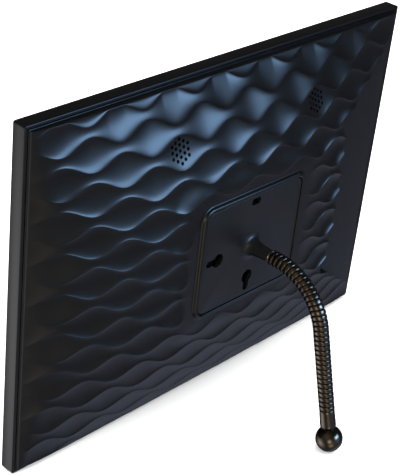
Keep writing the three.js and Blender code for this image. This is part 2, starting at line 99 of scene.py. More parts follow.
def from_row(point):
    """A point of the CAD's frame in the upright drawing."""
    return TURN.T @ (np.array(point) - SHIFT) / MM


# ---------- Sizes, in millimetres, as in the CAD ----------

WIDTH = 1000 * (cad_high[0] - cad_low[0])
HEIGHT = 200.0
SIDE_DEPTH = 8.7
WALL = 1.8
COVER_HALF_WIDTH = WIDTH / 2 - WALL - 0.4
COVER_HALF_HEIGHT = HEIGHT / 2 - WALL - 0.4
COVER_BASE = -1.8
BORDER = 0.33
EDGE_RISE_START = 0.2
EDGE_RISE_HEIGHT = 1.9
EDGE_RISE_WIDTH = 0.5
SIDE_START = 1.3  # height that the cover climbs from at its left and right edges
SIDE_CLIMB = 0.45  # slope of that climb
CROWN_HEIGHT = 24.1
CROWN_HALF_WIDTH = 144.0
CROWN_HALF_HEIGHT = 98.4
CROWN_POWER_X = 2.22
CROWN_POWER_Z = 2.75

PLATE_WIDTH = 75.4
PLATE_HEIGHT = 62.0
PLATE_CORNER = 5.0
PLATE_FACE = 25.4
PLATE_THICKNESS = 2.4
SEAT = PLATE_FACE - PLATE_THICKNESS - 0.3

NECK_START = 40.9
NECK_STRAIGHT = 4.8
NECK_BEND_RADIUS = 35.0
NECK_BEND = math.radians(74.5)
BALL_RADIUS = 7.5
LINKS = 9


# ---------- Small tools ----------


def smoothstep(low, high, value):
    t = np.clip((np.asarray(value, float) - low) / (high - low), 0, 1)
    return t * t * (3 - 2 * t)


def new_object(name, points, faces):
    """A mesh object from points in the upright drawing."""
    mesh = bpy.data.meshes.new(name)
    mesh.from_pydata([tuple(p) for p in to_row(points)], [], [tuple(f) for f in faces])
    mesh.update()
    piece = bpy.data.objects.new(name, mesh)
    bpy.context.scene.collection.objects.link(piece)
    close_up(piece)
    return piece


def close_up(piece):
    """Merges points that coincide and turns every face outwards."""
    work = bmesh.new()
    work.from_mesh(piece.data)
    bmesh.ops.remove_doubles(work, verts=work.verts, dist=2e-6)
    bmesh.ops.dissolve_degenerate(work, edges=work.edges, dist=1e-6)
    bmesh.ops.recalc_face_normals(work, faces=work.faces)
    work.to_mesh(piece.data)
    work.free()


def smooth(piece, sharp_degrees=35):
    piece.data.shade_smooth()
    piece.data.set_sharp_from_angle(angle=math.radians(sharp_degrees))


def apply_modifiers(piece):
    graph = bpy.context.evaluated_depsgraph_get()
    mesh = bpy.data.meshes.new_from_object(piece.evaluated_get(graph))
    old = piece.data
    piece.modifiers.clear()
    piece.data = mesh
    bpy.data.meshes.remove(old)


def combine(piece, other, operation):
    """Joins another solid to a piece, or cuts it away, and removes the other."""
    modifier = piece.modifiers.new("combine", "BOOLEAN")
    modifier.operation = operation
    modifier.solver = "MANIFOLD"
    modifier.object = other
    apply_modifiers(piece)
    bpy.data.objects.remove(other)


def bevel(piece, width, segments=2, degrees=40):
    modifier = piece.modifiers.new("bevel", "BEVEL")
    modifier.width = width * MM
    modifier.segments = segments
    modifier.limit_method = "ANGLE"
    modifier.angle_limit = math.radians(degrees)
    apply_modifiers(piece)


def grid_faces(rows, columns, first=0, wrap=False):
    """Quads between rows of points, each row with the same number of columns."""
    faces = []
    for r in range(rows - 1):
        for c in range(columns if wrap else columns - 1):
            d = (c + 1) % columns
            a = first + r * columns
            b = a + columns
            faces.append((a + c, a + d, b + d, b + c))
    return faces


def loft(name, rings):
    """A closed solid through rings of points, with a face over each end."""
    count = len(rings[0])
    points = np.concatenate([np.asarray(ring, float) for ring in rings])
    faces = grid_faces(len(rings), count, wrap=True)
    faces.append(tuple(range(count)))
    faces.append(tuple(range((len(rings) - 1) * count, len(rings) * count)))
    return new_object(name, points, faces)


def ring_loft(name, rings):
    """A closed ring: the last ring of points joins the first."""
    count = len(rings[0])
    points = np.concatenate([np.asarray(ring, float) for ring in rings])
    faces = grid_faces(len(rings), count, wrap=True)
    last = (len(rings) - 1) * count
    for c in range(count):
        d = (c + 1) % count
        faces.append((last + c, last + d, d, c))
    return new_object(name, points, faces)


def prism(name, outline, low, high):
    """An outline in X and Z, given thickness along Y."""
    flat = np.array([(x, 0, z) for x, z in outline])
    return loft(name, [flat + (0, low, 0), flat + (0, high, 0)])


def box_solid(name, low, high):
    corners = [(low[0], low[2]), (high[0], low[2]), (high[0], high[2]), (low[0], high[2])]
    return prism(name, corners, low[1], high[1])


def arc(centre_x, centre_z, radius, start, end, steps):
    angles = np.radians(np.linspace(start, end, steps))
    return [(centre_x + radius * math.cos(a), centre_z + radius * math.sin(a)) for a in angles]


def rounded_rectangle(width, height, radius, steps=9):
    x = width / 2 - radius
    z = height / 2 - radius
    points = []
    for sx, sz, start in ((1, 1, 0), (-1, 1, 90), (-1, -1, 180), (1, -1, 270)):
        points += arc(sx * x, sz * z, radius, start, start + 90, steps)
    return points


def revolve(name, profile, sides=48):
    """A profile of (radius, Y) turned about the Y axis, with its ends on the axis or at one point."""
    angles = np.linspace(0, 2 * math.pi, sides, endpoint=False)
    points = []
    for radius, y in profile:
        radius = max(radius, 0.0)
        points += [(radius * math.cos(a), y, radius * math.sin(a)) for a in angles]
    faces = grid_faces(len(profile), sides, wrap=True)
    return new_object(name, np.array(points), faces)


# ---------- Materials ----------


def shader(name, color, roughness, metallic=0.0):
    material = bpy.data.materials.new(name)
    material.use_nodes = True
    bsdf = material.node_tree.nodes["Principled BSDF"]
    bsdf.inputs["Base Color"].default_value = (*color, 1)
    bsdf.inputs["Roughness"].default_value = roughness
    bsdf.inputs["Metallic"].default_value = metallic
    return material, material.node_tree, bsdf


def node(tree, kind, **values):
    made = tree.nodes.new(kind)
    for key, value in values.items():
        if key in made.inputs:
            made.inputs[key].default_value = value
        else:
            setattr(made, key, value)
    return made


def object_noise(tree, scale, detail=3.0):
    place = node(tree, "ShaderNodeTexCoord")
    noise = node(tree, "ShaderNodeTexNoise", Scale=scale, Detail=detail)
    tree.links.new(place.outputs["Object"], noise.inputs["Vector"])
    return noise


def vary_color(tree, bsdf, noise, dark, light):
    ramp = node(tree, "ShaderNodeValToRGB")
    ramp.color_ramp.elements[0].position = 0.3
    ramp.color_ramp.elements[0].color = (*dark, 1)
    ramp.color_ramp.elements[1].position = 0.7
    ramp.color_ramp.elements[1].color = (*light, 1)
    tree.links.new(noise.outputs["Fac"], ramp.inputs["Fac"])
    tree.links.new(ramp.outputs["Color"], bsdf.inputs["Base Color"])


def vary_roughness(tree, bsdf, noise, low, high):
    span = node(tree, "ShaderNodeMapRange")
    span.inputs["To Min"].default_value = low
    span.inputs["To Max"].default_value = high
    tree.links.new(noise.outputs["Fac"], span.inputs["Value"])
    tree.links.new(span.outputs["Result"], bsdf.inputs["Roughness"])


def grain_bump(tree, bsdf, scale, strength, depth):
    grain = object_noise(tree, scale, 4)
    bump = node(tree, "ShaderNodeBump", Strength=strength, Distance=depth)
    tree.links.new(grain.outputs["Fac"], bump.inputs["Height"])
    tree.links.new(bump.outputs["Normal"], bsdf.inputs["Normal"])


def moulded_plastic(name, color, roughness, grain=0.05):
    """Injection-moulded plastic: faint cloudy sheen and a very fine grain."""
    material, tree, bsdf = shader(name, color, roughness)
    clouds = object_noise(tree, 55, 3)
    vary_color(tree, bsdf, clouds, [0.85 * c for c in color], [1.2 * c for c in color])
    vary_roughness(tree, bsdf, clouds, roughness * 0.92, roughness * 1.1)
    grain_bump(tree, bsdf, 2600, grain, 0.00004)
    return material


def plated_metal(name, color, roughness):
    """Plated metal with faint polishing marks."""
    material, tree, bsdf = shader(name, color, roughness, 1.0)
    marks = object_noise(tree, 900, 4)
    vary_roughness(tree, bsdf, marks, roughness * 0.8, roughness * 1.3)
    vary_color(tree, bsdf, object_noise(tree, 160), [0.85 * c for c in color], [1.1 * c for c in color])
    return material


def circuit_material(name):
    """Green solder mask with the lighter pattern of the copper under it."""
    material, tree, bsdf = shader(name, (0.01, 0.08, 0.03), 0.4)
    place = node(tree, "ShaderNodeTexCoord")
    tracks = node(tree, "ShaderNodeTexVoronoi", Scale=420, distance="MANHATTAN")
    tree.links.new(place.outputs["Object"], tracks.inputs["Vector"])
    ramp = node(tree, "ShaderNodeValToRGB")
    ramp.color_ramp.interpolation = "CONSTANT"
    ramp.color_ramp.elements[0].color = (0.02, 0.13, 0.05, 1)
    ramp.color_ramp.elements[1].position = 0.45
    ramp.color_ramp.elements[1].color = (0.008, 0.06, 0.022, 1)
    tree.links.new(tracks.outputs["Distance"], ramp.inputs["Fac"])
    tree.links.new(ramp.outputs["Color"], bsdf.inputs["Base Color"])
    return material


BODY_BLACK = moulded_plastic("body_black", (0.0016, 0.0016, 0.0018), 0.25, 0.02)
PLATE_BLACK = moulded_plastic("plate_black", (0.0028, 0.0029, 0.0033), 0.36, 0.06)
GUNMETAL = plated_metal("gunmetal", (0.135, 0.115, 0.092), 0.15)
BRIGHT_RING = plated_metal("bright_ring", (0.62, 0.58, 0.52), 0.16)
RUBBER = moulded_plastic("rubber", (0.014, 0.014, 0.014), 0.85, 0.4)
STEEL = plated_metal("steel", (0.5, 0.51, 0.52), 0.35)
CHIP = moulded_plastic("chip_black", (0.012, 0.012, 0.013), 0.5, 0.3)
MAGNET = plated_metal("magnet", (0.28, 0.29, 0.3), 0.4)
CONE = moulded_plastic("speaker_cone", (0.02, 0.02, 0.022), 0.75, 0.4)
FOAM = moulded_plastic("foam", (0.03, 0.03, 0.03), 0.95, 0.6)
FLEX = moulded_plastic("flex", (0.35, 0.16, 0.02), 0.4)
DIFFUSER = moulded_plastic("diffuser", (0.75, 0.76, 0.75), 0.55)
SCREEN = moulded_plastic("screen", (0.006, 0.007, 0.010), 0.12, 0.02)
CIRCUIT = circuit_material("circuit_board")
LENS, _, lens_bsdf = shader("lens_glass", (0.9, 0.92, 0.93), 0.03)
lens_bsdf.inputs["Transmission Weight"].default_value = 0.85
LENS_TINT = object_noise(LENS.node_tree, 300)
vary_roughness(LENS.node_tree, lens_bsdf, LENS_TINT, 0.02, 0.05)

NODE_MATERIALS = {
    "satin_black": BODY_BLACK,
    "plate_black": PLATE_BLACK,
    "lens_glass": LENS,
    "screen": SCREEN,
    "diffuser": DIFFUSER,
    "steel": STEEL,
    "gunmetal": GUNMETAL,
    "bright_ring": BRIGHT_RING,
    "rubber": RUBBER,
    "circuit_board": CIRCUIT,
    "chip": CHIP,
    "cone": CONE,
    "magnet": MAGNET,
    "foam": FOAM,
    "flex": FLEX,
}


def dress(piece, body, slot, *nodes):
    """Gives a finished piece its material and its body, and hides the CAD nodes that it stands for."""
    piece.data.materials.clear()
    piece.data.materials.append(NODE_MATERIALS[slot])
    if body:
        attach(piece, body)
    if nodes:
        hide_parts(*nodes)
    return piece


# ---------- Rear cover ----------

WAVE_LENGTH = 35.44
WAVE_SWING = 3.03  # how far a ridge line swings up and down
WAVE_CREST_X = 123.5  # a crest of every other line
LINE_SPACING = 11.534
LINE_SQUEEZE = 0.02  # the lines draw together towards the top and bottom
LINE_TILT = 0.0118  # and are a little closer above the middle than below it
LINE_TWIST = 0.004
MIDDLE_LINE_Z = 5.32
LINES_ABOVE = 8
LINES_BELOW = 9
SCOOP = 0.0842  # depth of the hollow between two lines, as a share of its width
SCOOP_POWER = 0.742  # below 1, the hollow is fuller and meets the ridges at a steeper slope
SCOOP_SLANT = 0.035  # each hollow's lower side stands higher
RIDGE_ROUND = 0.017
RIDGE_RISE = 0.94
PAD_LEVEL = 24.2  # flat pad round the plate
PAD_HALF_WIDTH = 41
PAD_HALF_HEIGHT = 32
FADE_BY_SIDES = (-3, 22)  # distances over which the waves grow, inwards from the sides
FADE_BY_PAD = (3, 17)  # and outwards from the pad
DEEPER_BY_POCKET = 0.9


def edge_rise(x, z):
    """The short wall that the cover rises by at its edge."""
    edge = np.minimum(COVER_HALF_WIDTH - np.abs(x), COVER_HALF_HEIGHT - np.abs(z))
    return smoothstep(BORDER, BORDER + EDGE_RISE_WIDTH, edge)


def pillow(x, z):
    """The cover's smooth outer skin, without its waves."""
    u = np.minimum(np.abs(x) / CROWN_HALF_WIDTH, 1)
    v = np.minimum(np.abs(z) / CROWN_HALF_HEIGHT, 1)
    crown = EDGE_RISE_HEIGHT + CROWN_HEIGHT * (1 - u**CROWN_POWER_X) * (1 - v**CROWN_POWER_Z)
    climb = SIDE_START + SIDE_CLIMB * np.maximum(COVER_HALF_WIDTH - BORDER - np.abs(x), 0)
    height = 0.5 * (crown + climb - np.sqrt((crown - climb) ** 2 + 0.6))
    return EDGE_RISE_START + edge_rise(x, z) * (height - EDGE_RISE_START)


def ridge_line(n, x):
    """Height up the cover of ridge line n, counted down from the middle one."""
    w = n / LINES_ABOVE
    closeness = 1 - LINE_SQUEEZE * w**2 + LINE_TILT * w - LINE_TWIST * w**3
    level = MIDDLE_LINE_Z - LINE_SPACING * n * closeness
    side = 1 if n % 2 == 0 else -1
    line = level + side * WAVE_SWING * np.cos(2 * math.pi * (x - WAVE_CREST_X) / WAVE_LENGTH)
    reach = COVER_HALF_HEIGHT - BORDER - EDGE_RISE_WIDTH - 0.2
    return np.clip(line, -reach, reach)


def pad_distance(x, z):
    """How far a point is outside the plate's flat pad."""
    dx = np.maximum(np.abs(x) - PAD_HALF_WIDTH, 0)
    dz = np.maximum(np.abs(z) - PAD_HALF_HEIGHT, 0)
    return np.hypot(dx, dz)


def relief_strength(x, z):
    """How strong the waves are: none on the pad, weak at the sides, deepest at the pocket's brim."""
    by_sides = smoothstep(*FADE_BY_SIDES, WIDTH / 2 - np.abs(x))
    by_pad = smoothstep(*FADE_BY_PAD, pad_distance(x, z))
    by_pocket = smoothstep(58, 80, -x) * (1 - smoothstep(45, 70, np.abs(z)))
    return by_sides * by_pad * (1 + DEEPER_BY_POCKET * by_pocket)


def scoop(t):
    """Hollow between two ridges: 0 on a ridge and 1 in the middle, with the ridge just rounded."""
    hollow = 4 * (np.sqrt((t * (1 - t)) ** 2 + RIDGE_ROUND**2) - RIDGE_ROUND)
    return hollow**SCOOP_POWER


def relief_skin(x, z, t, width):
    """The cover's outer skin with its waves."""
    smooth_skin = pillow(x, z)
    to_pad = 1 - smoothstep(2, 20, pad_distance(x, z))
    skin = smooth_skin + to_pad * (PAD_LEVEL - smooth_skin)
    edge = np.minimum(COVER_HALF_WIDTH - np.abs(x), COVER_HALF_HEIGHT - np.abs(z))
    strength = relief_strength(x, z) * edge_rise(x, z)
    skin = skin + strength * (RIDGE_RISE - SCOOP * width * scoop(t) + SCOOP_SLANT * width * (t - 0.5))
    corner = np.clip(1 - edge / BORDER, 0, 1)
    return np.maximum(skin, 0) - 0.25 * corner**2


BORDER_STEPS = (0, 0.12, 0.25, 0.33, 0.42, 0.5, 0.58, 0.66, 0.75)  # across the border and edge wall


def cover_columns():
    near_edge = [*BORDER_STEPS, BORDER + EDGE_RISE_WIDTH, 0.95, 1.3, 1.9, 2.6, 3.3]
    left = -COVER_HALF_WIDTH + np.array(near_edge)
    middle = np.arange(left[-1] + 0.75, -left[-1] - 0.3, 0.75)
    return np.concatenate([left, middle, -left[::-1]])


def cover_rows(x):
    """Rows of points (Z, place between two ridges, width between them) that follow the ridge lines."""
    edge = COVER_HALF_HEIGHT
    flat = np.ones_like(x)
    lines = [(edge - BORDER - EDGE_RISE_WIDTH) * flat]
    lines += [ridge_line(n, x) for n in range(-LINES_ABOVE, LINES_BELOW + 1)]
    lines.append(-(edge - BORDER - EDGE_RISE_WIDTH) * flat)
    places = [0, 0.012, 0.03, 0.06, 0.11, 0.19, 0.3, 0.42, 0.54, 0.66, 0.78, 0.87, 0.93, 0.965, 0.988]
    rows = [((edge - s) * flat, 0 * flat, 0 * flat) for s in BORDER_STEPS]
    for upper, lower in zip(lines[:-1], lines[1:]):
        width = upper - lower
        rows += [(upper - width * t, t * flat, width) for t in places]
    last_steps = (BORDER + EDGE_RISE_WIDTH, *reversed(BORDER_STEPS))
    rows += [((s - edge) * flat, 0 * flat, 0 * flat) for s in last_steps]
    return rows


def slab_from_skin(name, grid_x, grid_z, grid_y, base):
    """A closed solid under a grid of points, down to a flat base."""
    rows, columns = grid_x.shape
    top = np.stack([grid_x, grid_y, grid_z], -1).reshape(-1, 3)
    bottom = top.copy()
    bottom[:, 1] = base
    count = rows * columns
    faces = grid_faces(rows, columns)
    rim = [(0, c) for c in range(columns)]
    rim += [(r, columns - 1) for r in range(1, rows)]
    rim += [(rows - 1, c) for c in range(columns - 2, -1, -1)]
    rim += [(r, 0) for r in range(rows - 2, 0, -1)]
    edge = [r * columns + c for r, c in rim]
    under = {index: count + k for k, index in enumerate(edge)}
    points = np.concatenate([top, bottom[edge]])
    for k, index in enumerate(edge):
        following = edge[(k + 1) % len(edge)]
        faces.append((index, under[index], under[following], following))
    faces.append(tuple(under[index] for index in edge))
    return new_object(name, points, faces)


GRILLE_X = 53
GRILLE_Z = 68.4
GRILLE_PITCH = 3.0
GRILLE_HOLE_RADIUS = 0.9

POCKET_WALL_X = -81.5
POCKET_EDGE_X = -95.5
POCKET_FLOOR = 2.2
TRENCH_FLOOR = -0.6
POCKET_LOWER = 3.4  # the pocket reaches further down than up


def pocket_outline(margin, with_floor=True):
    inner = [(POCKET_WALL_X + margin, 50 + margin), (POCKET_EDGE_X, 56 + margin)]
    if with_floor:
        inner.append((-150, 94.8 + margin))
    return inner + [(x, -z - POCKET_LOWER) for x, z in reversed(inner)]


def pocket_tools(margin, skin):
    """The connector pocket and its trench, grown by a margin and lowered by a skin."""
    pocket = pocket_outline(margin)
    trench = pocket_outline(margin, with_floor=False)
    return [
        prism("pocket", pocket, POCKET_FLOOR - skin, 40),
        prism("trench", trench, TRENCH_FLOOR - skin, 40),
    ]


def pocket_skirt(outline):
    """Cuts the slope from the pocket's floor down to the side border, within the pocket's outline."""
    rings = []
    for z in np.linspace(-96, 96, 49):
        brink = -134.8 + 8.2 * (z / 80) ** 2
        border = 0.9 - COVER_HALF_WIDTH
        fall = (POCKET_FLOOR - 0.35) / (brink - border)
        outer = POCKET_FLOOR - fall * (brink + 150)
        rings.append([(brink, POCKET_FLOOR, z), (-150, outer, z), (-150, 40, z), (brink, 40, z)])
    skirt = loft("pocket_skirt", rings)
    combine(skirt, prism("outline", outline, -20, 60), "INTERSECT")
    return skirt


def grille_tools():
    holes = []
    for side in (-1, 1):
        for q in range(-2, 3):
            for r in range(max(-2, -2 - q), min(2, 2 - q) + 1):
                x = side * GRILLE_X + GRILLE_PITCH * q * math.cos(math.pi / 6)
                z = GRILLE_Z + GRILLE_PITCH * (r + q / 2)
                holes.append(prism("hole", arc(x, z, GRILLE_HOLE_RADIUS, 0, 345, 24), 5, 30))
    return holes


def keyhole_outline(wide, narrow, travel):
    half = math.degrees(math.asin(narrow / wide))
    points = arc(0, 0, wide, half, 360 - half, 25)
    return points + arc(travel, 0, narrow, -90, 90, 9)


def keyhole_tools(wide, narrow, low, high):
    """The keyhole that points to one side, and the one that points down."""
    shape = keyhole_outline(wide, narrow, 7)
    side = [(26.2 + x, z) for x, z in shape]
    lower = [(z, -19.4 - x) for x, z in shape]
    return [prism("keyhole", side, low, high), prism("keyhole", lower, low, high)]


def slot_tool(low, high):
    shape = [(x, 27.4 + z) for x, z in rounded_rectangle(7, 4, 1.7, 7)]
    return prism("slot", shape, low, high)


def socket_windows():
    """Openings in the pocket's wall, round the CAD's sockets and button."""
    tools = []
    for name in ("usb_port", "card_slot", "dc_jack", "power_button"):
        low, high = (Vector(from_row(corner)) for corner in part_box(name))
        tools.append(
            box_solid(
                "window",
                (POCKET_WALL_X - 1, min(low.y, high.y) - 0.1, min(low.z, high.z) - 0.1),
                (POCKET_WALL_X + 2.1, max(low.y, high.y) + 0.1, max(low.z, high.z) + 0.1),
            )
        )
    return tools


def rear_cover():
    x = cover_columns()
    rows = cover_rows(x)
    grid_x = np.stack([x] * len(rows))
    grid_z = np.stack([row[0] for row in rows])
    place = np.stack([row[1] for row in rows])
    width = np.stack([row[2] for row in rows])
    skin = relief_skin(grid_x, grid_z, place, width)
    cover = slab_from_skin("rear_cover_relief", grid_x, grid_z, skin, COVER_BASE)

    inside_x, inside_z = np.meshgrid(
        np.linspace(3 - COVER_HALF_WIDTH, COVER_HALF_WIDTH - 3, 80),
        np.linspace(COVER_HALF_HEIGHT - 3, 3 - COVER_HALF_HEIGHT, 60),
    )
    lowered = np.minimum(np.maximum(pillow(inside_x, inside_z) - 4.2, COVER_BASE + 0.2), SEAT - 2)
    hollow = slab_from_skin("hollow", inside_x, inside_z, lowered, COVER_BASE - 1)
    for tool in pocket_tools(2, 1.2):
        combine(hollow, tool, "DIFFERENCE")

    seat = rounded_rectangle(PLATE_WIDTH + 0.6, PLATE_HEIGHT + 0.6, PLATE_CORNER)
    tools = [hollow, prism("seat", seat, SEAT, 40), slot_tool(0, 40)]
    tools += pocket_tools(0, 0) + [pocket_skirt(pocket_outline(0))] + grille_tools()
    tools += keyhole_tools(5, 4, 0, 40) + socket_windows()
    for tool in tools:
        combine(cover, tool, "DIFFERENCE")
    smooth(cover, 32)
    return dress(cover, "housing", "satin_black", "rear_cover")


# ---------- Plate, lip and horn ----------


def offset_rectangle(grow, height):
    """A rounded rectangle round the plate's recess, grown outwards, at one height."""
    outline = rounded_rectangle(
        PLATE_WIDTH + 0.6 + 2 * grow, PLATE_HEIGHT + 0.6 + 2 * grow, PLATE_CORNER + 0.9 * grow
    )
    return [(x, height, z) for x, z in outline]


def plate_lip():
    """Rounded lip that stands round the plate."""
    profile = [(0.02, SEAT + 0.2), (0.02, 25.3), (0.1, 25.55), (0.3, 25.78), (0.6, 25.95)]
    for turn in np.radians(np.linspace(0, 56, 9)):
        profile.append((0.9 + 1.9 * math.sin(turn), 26.02 - 1.9 * (1 - math.cos(turn))))
    profile += [(2.75, 24.78), (3.0, 24.48), (3.35, 24.25), (3.9, 24.12), (4.5, 24.05)]
    profile.append((4.5, SEAT + 0.2))
    rings = [offset_rectangle(grow, height) for grow, height in profile]
    lip = ring_loft("plate_lip", rings)
    smooth(lip, 50)
    return dress(lip, "housing", "satin_black")


HORN_PROFILE = [  # height over the plate, radius
    (0.0, 11.5), (0.03, 10.2), (0.12, 8.8), (0.32, 7.6), (0.7, 6.5), (1.3, 5.6), (2.2, 4.95), (3.4, 4.5),
    (5.2, 4.15), (7.6, 3.88), (10.5, 3.66), (13.4, 3.5), (14.1, 3.44), (14.4, 3.25),
]


def mount_plate():
    outline = rounded_rectangle(PLATE_WIDTH, PLATE_HEIGHT, PLATE_CORNER)
    plate = prism("mount_plate_moulded", outline, PLATE_FACE - PLATE_THICKNESS, PLATE_FACE)
    bevel(plate, 0.35, 3)
    heights, radii = zip(*HORN_PROFILE)
    along = np.linspace(0, len(heights) - 1, 4 * len(heights))
    index = np.arange(len(heights))
    profile = [(0, PLATE_FACE - 1), (radii[0], PLATE_FACE - 1)]
    profile += zip(np.interp(along, index, radii), PLATE_FACE + np.interp(along, index, heights))
    profile += [(0, PLATE_FACE + heights[-1])]
    horn = revolve("horn", profile, 96)
    combine(plate, horn, "UNION")
    for tool in keyhole_tools(4, 2, 15, 45) + [slot_tool(15, 45)]:
        combine(plate, tool, "DIFFERENCE")
    smooth(plate, 30)
    return dress(plate, "housing", "plate_black", "mount_plate")


def collar_ring():
    profile = [
        (2.4, 40.05), (3.4, 40.05), (3.68, 40.15), (3.8, 40.4), (3.68, 40.65), (3.4, 40.8), (2.4, 40.8),
        (2.4, 40.05),
    ]
    ring = revolve("collar_ring_bright", profile, 64)
    smooth(ring, 50)
    return dress(ring, "housing", "bright_ring", "collar_ring")


# ---------- Gooseneck ----------

NECK_ARC = NECK_BEND_RADIUS * NECK_BEND


def neck_at(s):
    """Bend angle and centre of the neck at a length along it."""
    bend = np.clip((s - NECK_STRAIGHT) / NECK_BEND_RADIUS, 0, NECK_BEND)
    before = np.minimum(s, NECK_STRAIGHT)
    after = np.maximum(s - NECK_STRAIGHT - NECK_ARC, 0)
    y = NECK_START + before + NECK_BEND_RADIUS * np.sin(bend) + after * np.cos(bend)
    z = -NECK_BEND_RADIUS * (1 - np.cos(bend)) - after * np.sin(bend)
    return bend, y, z


BALL_CENTRE = from_row([(low + high) / 2 for low, high in zip(*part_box("foot_ball"))])
_, BEND_END_Y, BEND_END_Z = neck_at(NECK_STRAIGHT + NECK_ARC)
BALL_AT = NECK_STRAIGHT + NECK_ARC + math.hypot(BALL_CENTRE[1] - BEND_END_Y, BALL_CENTRE[2] - BEND_END_Z)
SLEEVE_AT = BALL_AT - BALL_RADIUS - 11 + 0.6
LINK_LENGTH = SLEEVE_AT / LINKS
BEAD_TURNS = 35
BEAD_GROOVE = 3.35
BEAD_CREST = 4.3
BEAD_PITCH = SLEEVE_AT / BEAD_TURNS


def neck_ring(s, radii, angles):
    """A ring of points round the neck."""
    bend, y, z = neck_at(s)
    side = radii * np.sin(angles)
    return np.stack(
        [radii * np.cos(angles), y + side * np.sin(bend), z + side * np.cos(bend)], -1
    )


def bead_radius(s, angles):
    """Rounded beads that wind round the neck with narrow grooves between them."""
    turn = (s / BEAD_PITCH - angles / (2 * math.pi)) % 1
    crown = np.maximum(1 - np.abs(2 * turn - 1) ** 5, 0) ** 0.5
    return BEAD_GROOVE + (BEAD_CREST - BEAD_GROOVE) * crown


def neck_hose(name, start, end):
    sides = 40
    angles = np.linspace(0, 2 * math.pi, sides, endpoint=False)
    count = int(round((end - start) / BEAD_PITCH * 14))
    rings = [neck_ring(s, bead_radius(s, angles), angles) for s in np.linspace(start, end, count + 1)]
    piece = loft(name, rings)
    smooth(piece, 60)
    return piece


def gooseneck():
    """Stretches of hose that each cross one joint, from mid-link to mid-link."""
    joints = [joint for joint in frame["joints"] if joint["type"] == "hinge"]
    first = neck_hose("neck_hose_root", 0, LINK_LENGTH / 2)
    dress(first, "housing", "gunmetal")
    for k, joint in enumerate(joints):
        start = (k + 0.5) * LINK_LENGTH
        end = (k + 1.5) * LINK_LENGTH
        hose = neck_hose(f"neck_hose_{k + 1}", start, end)
        dress(hose, None, "gunmetal", f"neck_link_{k + 1}")
        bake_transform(hose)
    last = neck_hose("neck_hose_end", (LINKS - 0.5) * LINK_LENGTH, SLEEVE_AT)
    dress(last, "foot", "gunmetal", f"neck_link_{LINKS}")


def foot():
    """Sleeve and ball at the end of the neck."""
    angles = np.linspace(0, 2 * math.pi, 48, endpoint=False)
    sleeve_profile = [  # length along the sleeve, radius
        (0.15, 0.01), (0.15, 3.6), (0.25, 3.95), (0.6, 4.15), (2.0, 4.22), (5.5, 4.3), (9.0, 4.38),
        (10.2, 4.34), (10.9, 4.0), (11.2, 3.6), (11.2, 0.01),
    ]
    round_neck = np.ones_like(angles)
    rings = [neck_ring(SLEEVE_AT + s, radius * round_neck, angles) for s, radius in sleeve_profile]
    sleeve = loft("foot_sleeve_turned", rings)
    smooth(sleeve, 50)
    dress(sleeve, "foot", "gunmetal", "foot_sleeve")
    radius = BALL_RADIUS - 0.02
    rings = []
    for lat in np.linspace(0.02, math.pi - 0.001, 36):
        rings.append(
            neck_ring(BALL_AT - radius * math.cos(lat), radius * math.sin(lat) * round_neck, angles)
        )
    ball = loft("foot_ball_polished", rings)
    smooth(ball, 50)
    dress(ball, "foot", "gunmetal", "foot_ball")


# ---------- Front ----------


def inset_rectangle(inset, y, corner=1.3, steps=5):
    """The housing's outline, moved inwards. Past their radius, its corners are sharp."""
    x = WIDTH / 2 - corner
    z = HEIGHT / 2 - corner
    radius = max(corner - inset, 0)
    reach = max(inset - corner, 0)
    points = []
    for sx, sz, start in ((1, 1, 0), (-1, 1, 90), (-1, -1, 180), (1, -1, 270)):
        for px, pz in arc(sx * (x - reach), sz * (z - reach), radius, start, start + 90, steps):
            points.append((px, y, pz))
    return points


def front_housing():
    front = -SIDE_DEPTH
    profile = [
        (0.5, front), (0.15, front + 0.15), (0, front + 0.5), (0, -0.45), (0.12, -0.14), (0.4, 0),
        (WALL - 0.3, 0), (WALL - 0.08, -0.08), (WALL, -0.3), (WALL, -6.1), (31.5, -6.1), (31.5, -7.1),
        (WALL, -7.1), (WALL, front + 0.25), (WALL - 0.25, front),
    ]
    housing = ring_loft("front_housing_shell", [inset_rectangle(inset, y) for inset, y in profile])
    for name in ("rubber_foot_left", "rubber_foot_right"):
        low, high = (from_row(corner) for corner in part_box(name))
        low, high = np.minimum(low, high), np.maximum(low, high)
        socket_low = (low[0] - 0.3, low[1] - 0.1, -101)
        socket_high = (high[0] + 0.3, high[1] + 0.1, -99.4)
        combine(housing, box_solid("foot_socket", socket_low, socket_high), "DIFFERENCE")
    smooth(housing, 50)
    return dress(housing, "housing", "satin_black", "front_housing")


def carried_nodes():
    """CAD nodes whose shape is kept get the material of their slot."""
    slots = {part["node"]: part["material_slot"] for part in frame["record"]["subparts"]}
    for name, node_object in frame["nodes"].items():
        if node_object.hide_render:
            continue
        material = NODE_MATERIALS[slots[name]]
        node_object.data.materials.clear()
        node_object.data.materials.append(material)


# ---------- Setting ----------


def lamp(name, azimuth, elevation, distance, width, height, color, power):
    """A soft box that shines on the object from a direction."""
    data = bpy.data.lights.new(name, "AREA")
    data.shape = "RECTANGLE"
    data.size = width
    data.size_y = height
    data.color = color
    data.energy = power
    light = bpy.data.objects.new(name, data)
    a, e = math.radians(azimuth), math.radians(elevation)
    outwards = Vector((math.cos(a) * math.cos(e), math.sin(a) * math.cos(e), math.sin(e)))
    light.location = Vector((0, 0, 0.1)) + outwards * distance
    light.rotation_euler = outwards.to_track_quat("Z", "Y").to_euler()
    bpy.context.scene.collection.objects.link(light)
    return light


